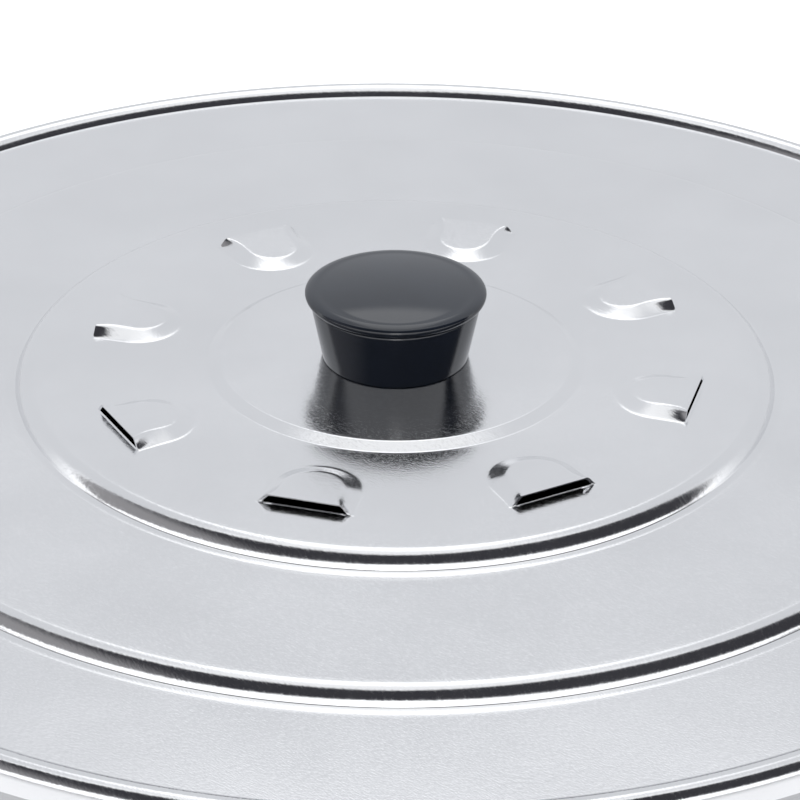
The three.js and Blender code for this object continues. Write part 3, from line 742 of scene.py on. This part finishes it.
def screw_data(length, sides=48):
    """A pan-head screw along +Z with its head's seat at 0; the slot across the head is cut afterwards by cut_slot."""
    head = rounded([
        (0.0, -SCREW_HEAD_H, 0.0),
        (SCREW_HEAD_R * 0.72, -SCREW_HEAD_H, 1.2),
        (SCREW_HEAD_R, -SCREW_HEAD_H * 0.45, 0.9),
        (SCREW_HEAD_R, 0.0, 0.15),
        (SCREW_R, 0.0, 0.0),
    ], 5, closed=False)
    shank = []
    z = 0.6
    while z < length - 1.2:
        shank.extend([(SCREW_R, z), (SCREW_R - THREAD_DEPTH, z + THREAD_PITCH / 2)])
        z += THREAD_PITCH
    profile = head + shank + [(SCREW_R, length - 1.0), (SCREW_R - 0.8, length), (0.0, length)]
    return lathe_data(profile, sides, False)


def cut_slot(piece, centre, axis, across):
    """Cuts a driver slot into a screw's head."""
    box = bpy.data.meshes.new("slot_tool")
    half = Vector((SCREW_HEAD_R * 1.5, 0.55, 1.1)) * MM
    corners = [Vector((x * half.x, y * half.y, z * half.z)) for x in (-1, 1) for y in (-1, 1) for z in (-1, 1)]
    turn = Matrix((across, axis.cross(across), axis)).transposed()
    box.from_pydata([turn @ corner + centre * MM for corner in corners], [],
                    [(0, 1, 3, 2), (4, 6, 7, 5), (0, 4, 5, 1), (2, 3, 7, 6), (0, 2, 6, 4), (1, 5, 7, 3)])
    tool = bpy.data.objects.new("slot_tool", box)
    bpy.context.scene.collection.objects.link(tool)
    cut = piece.modifiers.new("slot", "BOOLEAN")
    cut.object = tool
    cut.operation = "DIFFERENCE"
    cut.solver = "EXACT"
    graph = bpy.context.evaluated_depsgraph_get()
    mesh = bpy.data.meshes.new_from_object(piece.evaluated_get(graph))
    piece.modifiers.clear()
    piece.data = mesh
    bpy.data.objects.remove(tool)
    mesh.set_sharp_from_angle(angle=math.radians(35))


def add_screw(name, node, body, seat, axis, length):
    turn = Vector((0, 0, 1)).rotation_difference(axis).to_matrix().to_4x4()
    piece = add_mesh(name, *moved(screw_data(length), Matrix.Translation(seat) @ turn))
    across = Vector((0.35, 0.2, 1.0)) if abs(axis.z) < 0.5 else Vector((1.0, 0.3, 0.0))
    across = (across - axis * across.dot(axis)).normalized()
    cut_slot(piece, seat - axis * SCREW_HEAD_H, axis, across)
    return finish_piece(piece, body, "zinc_plate", zinc_plate, node)


under = PLATEAU_Z - SHEET - GAP
washer = rounded([
    (SCREW_R + HOLE_CLEARANCE, under - WASHER_T, 0.1),
    (WASHER_R, under - WASHER_T, 0.3),
    (WASHER_R, under, 0.3),
    (SCREW_R + HOLE_CLEARANCE, under, 0.1),
], 4)
finish_piece(lathe("knob_flat_washer", washer, 64), "lid", "zinc_plate", zinc_plate, "knob_washer")


def lock_washer():
    """A split ring whose ends are sprung a little apart."""
    low = under - GAP - 2 * WASHER_T
    steps = 60
    section = [(2.95, 0.08), (4.45, 0.08), (4.6, 0.2), (4.6, 1.0), (4.45, 1.12), (2.95, 1.12)]
    size = len(section)
    verts, faces = [], []
    for i in range(steps + 1):
        a = math.radians(7 + 346 * i / steps)
        lift = 0.12 * (i / steps - 0.5)
        verts.extend((r * math.cos(a), r * math.sin(a), low + z + lift) for r, z in section)
    for i in range(steps):
        for k in range(size):
            m = (k + 1) % size
            faces.append((i * size + k, i * size + m, (i + 1) * size + m, (i + 1) * size + k))
    faces.append(tuple(range(size)))
    faces.append(tuple(reversed(range(steps * size, (steps + 1) * size))))
    faces = [f[::-1] for f in faces]
    return add_mesh("knob_spring_washer", verts, faces)


finish_piece(lock_washer(), "lid", "zinc_plate", zinc_plate, "knob_lock_washer")
screw_seat = Vector((0, 0, under - 2 * GAP - 2 * WASHER_T))
add_screw("knob_fixing_screw", "knob_screw", "lid", screw_seat, Vector((0, 0, 1)), LID_SCREW_L)


# ---- Pot and base ----

def pot_profile():
    corner_r, corner_z = POT_OUTER_R - CORNER_R, FLOOR_UNDER_Z + CORNER_R
    wall_out = [(POT_OUTER_R, corner_z + (CURL_Z - corner_z) * i / 12) for i in range(1, 12)]
    wall_in = [(POT_BORE_R, z) for _, z in reversed(wall_out)]
    floor_out = [(r, FLOOR_UNDER_Z) for r in (0.0, 30.0, 60.0, 90.0, 115.0, 130.0)]
    floor_in = [(r, FLOOR_Z) for r, _ in reversed(floor_out)]
    return (floor_out
            + arc(corner_r, corner_z, CORNER_R, -90, 0, 14)
            + wall_out
            + arc(CURL_X, CURL_Z, CURL_R - SHEET, 180, -70, 20)
            + arc(CURL_X, CURL_Z, CURL_R, -70, 180, 26)
            + wall_in
            + arc(corner_r, corner_z, CORNER_R - SHEET, 0, -90, 14)
            + floor_in)


finish_piece(lathe("pot_body", pot_profile(), POT_SIDES), "pot", "pot_steel", pot_steel, "pot_shell")

capsule_in = CORE_R + GAP
capsule_top = FLOOR_UNDER_Z - GAP
capsule = [(0.0, 0.0), (60.0, 0.0), (110.0, 0.0)] + rounded([
    (120.0, 0.0, 0.0),
    (capsule_in + CAPSULE_T, 0.0, 1.8),
    (capsule_in + CAPSULE_T, capsule_top, 0.3),
    (capsule_in, capsule_top, 0.2),
    (capsule_in, CAPSULE_T, 0.8),
    (120.0, CAPSULE_T, 0.0),
], 7, closed=False) + [(60.0, CAPSULE_T), (0.0, CAPSULE_T)]
finish_piece(lathe("base_cover", capsule, POT_SIDES), "pot", "pot_steel", pot_steel, "base_capsule")


# ---- Side handles ----

def bracket_path():
    """Centre line of the strap in plan, from one arm's tip to the other's, for the +X side."""
    mid_r = BRACKET_IN_R + BRACKET_T / 2
    arm_y = ARM_IN_Y + BRACKET_T / 2
    tip = GRIP_X + BRACKET_NOSE_R
    centre_y = arm_y - BRACKET_BEND_R
    centre_x = math.sqrt((mid_r + BRACKET_BEND_R) ** 2 - centre_y ** 2)
    wall_angle = math.atan2(centre_y, centre_x)
    arm = [(tip - (tip - centre_x) * (1 - math.cos(math.radians(90 * i / 32))), arm_y) for i in range(33)]
    bend = arc(centre_x, centre_y, BRACKET_BEND_R, 90, 180 + math.degrees(wall_angle), 8)[1:]
    wall = arc(0, 0, mid_r, math.degrees(wall_angle), 0, 12)[1:]
    half = arm + bend + wall
    return half + [(x, -y) for x, y in reversed(half[:-1])]


def bracket_half_height(x):
    """Half the strap's height at x: full at the wall, narrowing along the arm to a round nose."""
    taper_start = BRACKET_OUT_R + BRACKET_SHOULDER
    if x > GRIP_X:
        return max(math.sqrt(max(BRACKET_NOSE_R ** 2 - (x - GRIP_X) ** 2, 0.0)), 0.25)
    if x > taper_start:
        t = (x - taper_start) / (GRIP_X - taper_start)
        return BRACKET_H / 2 + (BRACKET_NOSE_R - BRACKET_H / 2) * (t * t * (3 - 2 * t))
    return BRACKET_H / 2


def bracket_data():
    path = bracket_path()
    count = len(path)
    verts, faces = [], []
    rows = 9
    for i, (x, y) in enumerate(path):
        before, after = path[max(i - 1, 0)], path[min(i + 1, count - 1)]
        along = Vector((after[0] - before[0], after[1] - before[1])).normalized()
        side = Vector((-along.y, along.x))
        half = bracket_half_height(x)
        soft = min(0.35, half * 0.4)
        half_t = BRACKET_T / 2
        loop = []
        for k in range(rows):
            loop.append((half_t, -half + soft + (2 * half - 2 * soft) * k / (rows - 1)))
        loop += [(half_t - soft * 0.3, half - soft * 0.3), (half_t - soft, half)]
        loop += [(-half_t + soft, half), (-half_t + soft * 0.3, half - soft * 0.3)]
        for k in range(rows):
            loop.append((-half_t, half - soft - (2 * half - 2 * soft) * k / (rows - 1)))
        loop += [(-half_t + soft * 0.3, -half + soft * 0.3), (-half_t + soft, -half)]
        loop += [(half_t - soft, -half), (half_t - soft * 0.3, -half + soft * 0.3)]
        for a, z in loop:
            verts.append((x + side.x * a, y + side.y * a, z))
    size = len(verts) // count
    for i in range(count - 1):
        for k in range(size):
            m = (k + 1) % size
            faces.append((i * size + k, (i + 1) * size + k, (i + 1) * size + m, i * size + m))
    faces.append(tuple(range(size)))
    faces.append(tuple(reversed(range((count - 1) * size, count * size))))
    return verts, [f[::-1] for f in faces]


def grip_data():
    """A bowed bar with a squared oval section and rounded ends."""
    end = ARM_IN_Y - GAP
    count = 41
    points, radii = [], []
    section = []
    for k in range(40):
        a = 2 * math.pi * k / 40
        c, s = math.cos(a), math.sin(a)
        section.append((math.copysign(abs(c) ** 0.86, c), math.copysign(abs(s) ** 0.86, s)))
    for i in range(count):
        y = -end * math.cos(math.pi * i / (count - 1))
        t = y / (ARM_IN_Y + BRACKET_T)
        bow = GRIP_BOW * (1 - t * t)
        inset = max(GRIP_EASE - (end - abs(y)), 0.0)
        shrink = GRIP_EASE - math.sqrt(max(GRIP_EASE ** 2 - inset ** 2, 0.0))
        points.append((GRIP_X + bow, y, 0.0))
        radii.append((GRIP_H / 2 - shrink, GRIP_W / 2 - shrink))
    return sweep_data(points, radii, section=section)


def rivet_data():
    inside = POT_BORE_R - GAP
    outside = BRACKET_OUT_R
    head = [(0.0, inside - 1.25)] + rounded([
        (2.0, inside - 1.25, 0.0),
        (RIVET_HEAD_R * 0.86, inside - 1.25, 0.8),
        (RIVET_HEAD_R, inside - 0.4, 0.5),
        (RIVET_HEAD_R, inside + 0.2, 0.0),
        (RIVET_R, inside + 0.2, 0.0),
    ], 4, closed=False) + [(RIVET_R, outside + 0.02), (RIVET_HEAD_R, outside + 0.02)]
    dome = [(RIVET_HEAD_R * c, outside + 0.02 + (RIVET_HEAD_H + 0.1) * s) for c, s in arc(0, 0, 1, 0, 90, 12)[1:]]
    dome[-1] = (0.0, dome[-1][1])
    return lathe_data(head + dome, 48, False)


for side, turn in (("right", 0.0), ("left", math.pi)):
    place = Matrix.Translation((0, 0, HANDLE_Z)) @ Matrix.Rotation(turn, 4, "Z")
    finish_piece(add_mesh(f"{side}_strap", *moved(bracket_data(), place), 40.0),
                 "pot", "bracket_steel", bracket_steel, f"{side}_bracket")
    finish_piece(add_mesh(f"{side}_hand_grip", *moved(grip_data(), place), 50.0),
                 "pot", "black_phenolic", black_phenolic, f"{side}_grip")
    for end, sign in (("a", -1), ("b", 1)):
        seat = place @ Vector((GRIP_X, sign * (ARM_IN_Y + BRACKET_T), 0))
        axis = place.to_3x3() @ Vector((0, -sign, 0))
        add_screw(f"{side}_grip_screw_{end}", f"{side}_screw_{end}", "pot", seat, axis, SIDE_SCREW_L)
        spin = place @ Matrix.Rotation(sign * RIVET_TURN, 4, "Z") @ Matrix.Rotation(math.pi / 2, 4, "Y")
        finish_piece(add_mesh(f"{side}_wall_rivet_{end}", *moved(rivet_data(), spin)),
                     "pot", "bracket_steel", bracket_steel, f"{side}_rivet_{end}")


# ---- Jar rack ----

def weld_spot(x, y, z, along):
    """A small flattened nugget where two wires cross."""
    nugget = lathe_data([(0.0, -1.0)] + arc(0, 0, 1, -75, 75, 10) + [(0.0, 1.0)], 16, False)
    scale = Matrix.Diagonal((2.9, 2.9, 1.5, 1.0))
    return moved(nugget, Matrix.Translation((x, y, z)) @ Matrix.Rotation(along, 4, "Z") @ scale)


def rack_data():
    parts = []
    ring = [(x, y, RING_Z) for x, y in arc(0, 0, RING_R, 0, 360, 200)[:-1]]
    parts.append(sweep_data(ring, WIRE_R, loop=True))
    touch_z = RING_Z + WIRE_R - WELD / 2
    for i in range(-BARS_EACH_SIDE, BARS_EACH_SIDE + 1):
        y = i * HINGE_Y / BARS_EACH_SIDE
        reach = math.sqrt(RING_R ** 2 - y ** 2) + WIRE_R * 0.95
        tip = 0.5
        chain = [(x, y, BAR_Z) for x in (-reach, -reach + tip, 0, reach - tip, reach)]
        parts.append(sweep_data(chain, [WIRE_R - tip, WIRE_R, WIRE_R, WIRE_R, WIRE_R - tip]))
        cross = math.sqrt(RING_R ** 2 - y ** 2)
        for x in (-cross, cross):
            parts.append(weld_spot(x, y, touch_z, math.atan2(y, x)))
        for x in (-RUNNER_X, RUNNER_X):
            parts.append(weld_spot(x, y, touch_z, 0.0))
    foot_y = math.sqrt((RING_R - FOOT_INSET) ** 2 - RUNNER_X ** 2)
    foot_z = FLOOR_Z + GAP
    for x in (-RUNNER_X, RUNNER_X):
        chain = bend_chain([(x, -foot_y, foot_z + 0.6), (x, -foot_y, RING_Z), (x, foot_y, RING_Z),
                            (x, foot_y, foot_z + 0.6)], BEND_R)
        chain = [Vector((x, -foot_y, foot_z))] + chain + [Vector((x, foot_y, foot_z))]
        radii = [WIRE_R - 0.6] + [WIRE_R] * (len(chain) - 2) + [WIRE_R - 0.6]
        parts.append(sweep_data(chain, radii))
    return merged(parts)


def lean(eye_x):
    """How far a standing handle leans out before it reaches the pot's wall."""
    reach = POT_BORE_R * CAD_FLAT - LEAN_CLEARANCE - HANDLE_WIRE_R
    top_y = math.sqrt(reach ** 2 - (eye_x - LEG_TAPER) ** 2)
    return math.asin((top_y - HINGE_Y - EYE_R) / LEG_L)


def rack_handle_data(eye_x):
    top_x = eye_x - LEG_TAPER
    eye = arc(0, 0, EYE_R, 100, 360, 26)
    frame_points = [(-eye_x, EYE_R, 0), (-top_x, EYE_R, LEG_L), (top_x, EYE_R, LEG_L), (eye_x, EYE_R, 0)]
    legs = bend_chain(frame_points, BEND_R, 10)[1:-1]
    first = [Vector((-eye_x, a, b)) for a, b in eye]
    last = [Vector((eye_x, a, b)) for a, b in reversed(eye)]
    return sweep_data(first + legs + last, HANDLE_WIRE_R)


finish_piece(add_mesh("rack_wires", *rack_data(), 45.0), "rack", "rack_chrome", rack_chrome, "rack_frame")
wide_place = (Matrix.Translation((0, -HINGE_Y, BAR_Z)) @ Matrix.Rotation(math.pi, 4, "Z")
              @ Matrix.Rotation(-lean(WIDE_EYE_X), 4, "X"))
narrow_place = Matrix.Translation((0, HINGE_Y, BAR_Z)) @ Matrix.Rotation(-lean(NARROW_EYE_X), 4, "X")
finish_piece(add_mesh("wide_folding_handle", *moved(rack_handle_data(WIDE_EYE_X), wide_place), 45.0),
             "wide_handle", "rack_chrome", rack_chrome, "rack_handle_wide")
finish_piece(add_mesh("narrow_folding_handle", *moved(rack_handle_data(NARROW_EYE_X), narrow_place), 45.0),
             "narrow_handle", "rack_chrome", rack_chrome, "rack_handle_narrow")


# ---- CAD nodes that stay, with better materials ----

def dress(node, material):
    piece = bpy.data.objects[node]
    if not piece.material_slots:
        piece.data.materials.append(material)
    for entry in piece.material_slots:
        entry.material = material


dress("base_core", base_aluminium)
for node in ("knob_insert", "right_insert_a", "right_insert_b", "left_insert_a", "left_insert_b"):
    dress(node, insert_brass)


# ---- Floor, light and camera ----

def build_floor():
    mesh = bpy.data.meshes.new("floor")
    half, low = 12, -0.0004
    corners = [(-half, -half, low), (half, -half, low), (half, half, low), (-half, half, low)]
    mesh.from_pydata(corners, [], [(0, 1, 2, 3)])
    floor = bpy.data.objects.new("floor", mesh)
    bpy.context.scene.collection.objects.link(floor)
    material, nodes, links, bsdf = shader("floor_paper")
    cloud = add_noise(nodes, links, object_vector(nodes, links), 3.0, 2.0, 0.5)
    links.new(tinted(nodes, links, cloud, (0.95, 0.952, 0.955), (0.965, 0.967, 0.97)), bsdf.inputs["Base Color"])
    bsdf.inputs["Roughness"].default_value = 0.85
    bsdf.inputs["Specular IOR Level"].default_value = 0.2
    mesh.materials.append(material)


def window(nodes, links, value, low, high, soft):
    """1 where value lies between low and high, falling off over soft at each end."""
    rise = nodes.new("ShaderNodeMapRange")
    rise.interpolation_type = "SMOOTHSTEP"
    rise.inputs["From Min"].default_value = low - soft / 2
    rise.inputs["From Max"].default_value = low + soft / 2
    links.new(value, rise.inputs["Value"])
    fall = nodes.new("ShaderNodeMapRange")
    fall.interpolation_type = "SMOOTHSTEP"
    fall.inputs["From Min"].default_value = high - soft / 2
    fall.inputs["From Max"].default_value = high + soft / 2
    fall.inputs["To Min"].default_value = 1.0
    fall.inputs["To Max"].default_value = 0.0
    links.new(value, fall.inputs["Value"])
    return math_node(nodes, links, "MULTIPLY", rise.outputs["Result"], fall.outputs["Result"])


def build_world():
    """A light tent: grey in front, white above it and round the horizon, dark overhead and behind the camera."""
    world = bpy.data.worlds.new("light_tent")
    bpy.context.scene.world = world
    world.use_nodes = True
    nodes, links = world.node_tree.nodes, world.node_tree.links
    background = nodes["Background"]
    coord = nodes.new("ShaderNodeTexCoord")
    split = nodes.new("ShaderNodeSeparateXYZ")
    links.new(coord.outputs["Generated"], split.inputs[0])
    x, y, z = split.outputs
    azimuth = math_node(nodes, links, "ARCTAN2", x, y)
    arch = math_node(nodes, links, "ARCTAN2", z, y)   # 0 ahead, a right angle overhead, a half turn behind

    def layer(colour, shade, weight):
        mix = nodes.new("ShaderNodeMix")
        mix.data_type = "RGBA"
        mix.inputs[7].default_value = (*shade, 1)
        if isinstance(colour, tuple):
            mix.inputs[6].default_value = (*colour, 1)
        else:
            links.new(colour, mix.inputs[6])
        links.new(weight, mix.inputs[0])
        return mix.outputs[2]

    def turned(value, low, high, soft):
        return window(nodes, links, value, math.radians(low), math.radians(high), math.radians(soft))

    def across(start, end, soft):
        return window(nodes, links, x, start, end, soft)

    def both(a, b):
        return math_node(nodes, links, "MULTIPLY", a, b)

    grey = (0.77, 0.785, 0.815)
    off_centre = math_node(nodes, links, "SUBTRACT", 1.0, across(-0.15, 0.15, 0.12))
    colour = layer((1.5, 1.51, 1.53), grey, both(turned(arch, -30, 38, 3), turned(azimuth, -70, 70, 30)))
    colour = layer(colour, grey, both(both(turned(arch, -30, 75, 14), off_centre), turned(azimuth, -70, 70, 30)))
    colour = layer(colour, (1.08, 1.09, 1.1), both(turned(arch, 66, 110, 16), across(-0.3, 0.3, 0.1)))
    side = math_node(nodes, links, "MULTIPLY", math_node(nodes, links, "ABSOLUTE", x), math.radians(38))
    edge = math_node(nodes, links, "MAXIMUM", math_node(nodes, links, "SUBTRACT", math.radians(93), side),
                     math.radians(56))
    inner = math_node(nodes, links, "SUBTRACT", arch, edge)
    dark = both(turned(inner, 0, 300, 9), turned(arch, -10, 146, 10))
    colour = layer(colour, (0.045, 0.045, 0.052), dark)
    colour = layer(colour, (0.33, 0.325, 0.335), both(dark, across(-1.6, -0.62, 0.36)))
    colour = layer(colour, (4.0, 4.0, 4.0), both(turned(arch, 151, 166, 4), across(-0.1, 0.12, 0.05)))
    links.new(colour, background.inputs["Color"])
    background.inputs["Strength"].default_value = 1.0


def add_area(name, location, target, size, energy):
    lamp = bpy.data.lights.new(name, "AREA")
    lamp.shape = "RECTANGLE"
    lamp.size, lamp.size_y = size
    lamp.energy = energy
    piece = bpy.data.objects.new(name, lamp)
    piece.location = location
    piece.visible_glossy = False
    piece.rotation_euler = (Vector(target) - Vector(location)).to_track_quat("-Z", "Y").to_euler()
    bpy.context.scene.collection.objects.link(piece)


def build_camera():
    """Looks down at the lid from the front."""
    elevation, distance = math.radians(28.37), 745.8
    pitch, yaw, roll = math.radians(29.08), math.radians(0.10), math.radians(0.52)
    forward = Vector((math.sin(yaw) * math.cos(pitch), math.cos(yaw) * math.cos(pitch), -math.sin(pitch)))
    right = Vector((math.cos(yaw), -math.sin(yaw), 0.0))
    up = right.cross(forward)
    tilted_right = right * math.cos(roll) + up * math.sin(roll)
    tilted_up = -right * math.sin(roll) + up * math.cos(roll)
    camera_data = bpy.data.cameras.new("camera")
    camera_data.lens = 150.98
    camera_data.sensor_width = 36.0
    camera_data.clip_start = 0.05
    camera_data.clip_end = 60.0
    camera = bpy.data.objects.new("camera", camera_data)
    place = Matrix((tilted_right, tilted_up, -forward)).transposed().to_4x4()
    height = VENT_PLATE_Z + distance * math.sin(elevation)
    place.translation = Vector((0, -distance * math.cos(elevation), height)) * MM
    camera.matrix_world = place
    bpy.context.scene.collection.objects.link(camera)
    bpy.context.scene.camera = camera


build_floor()
build_world()
add_area("key", (-0.1, 0.95, 1.6), (0, 0.3, 0.1), (1.2, 1.2), 42.0)
build_camera()
scene = bpy.context.scene
scene.view_settings.view_transform = "Standard"
scene.view_settings.look = "None"
scene.view_settings.exposure = 0.0
scene.view_settings.gamma = 1.0
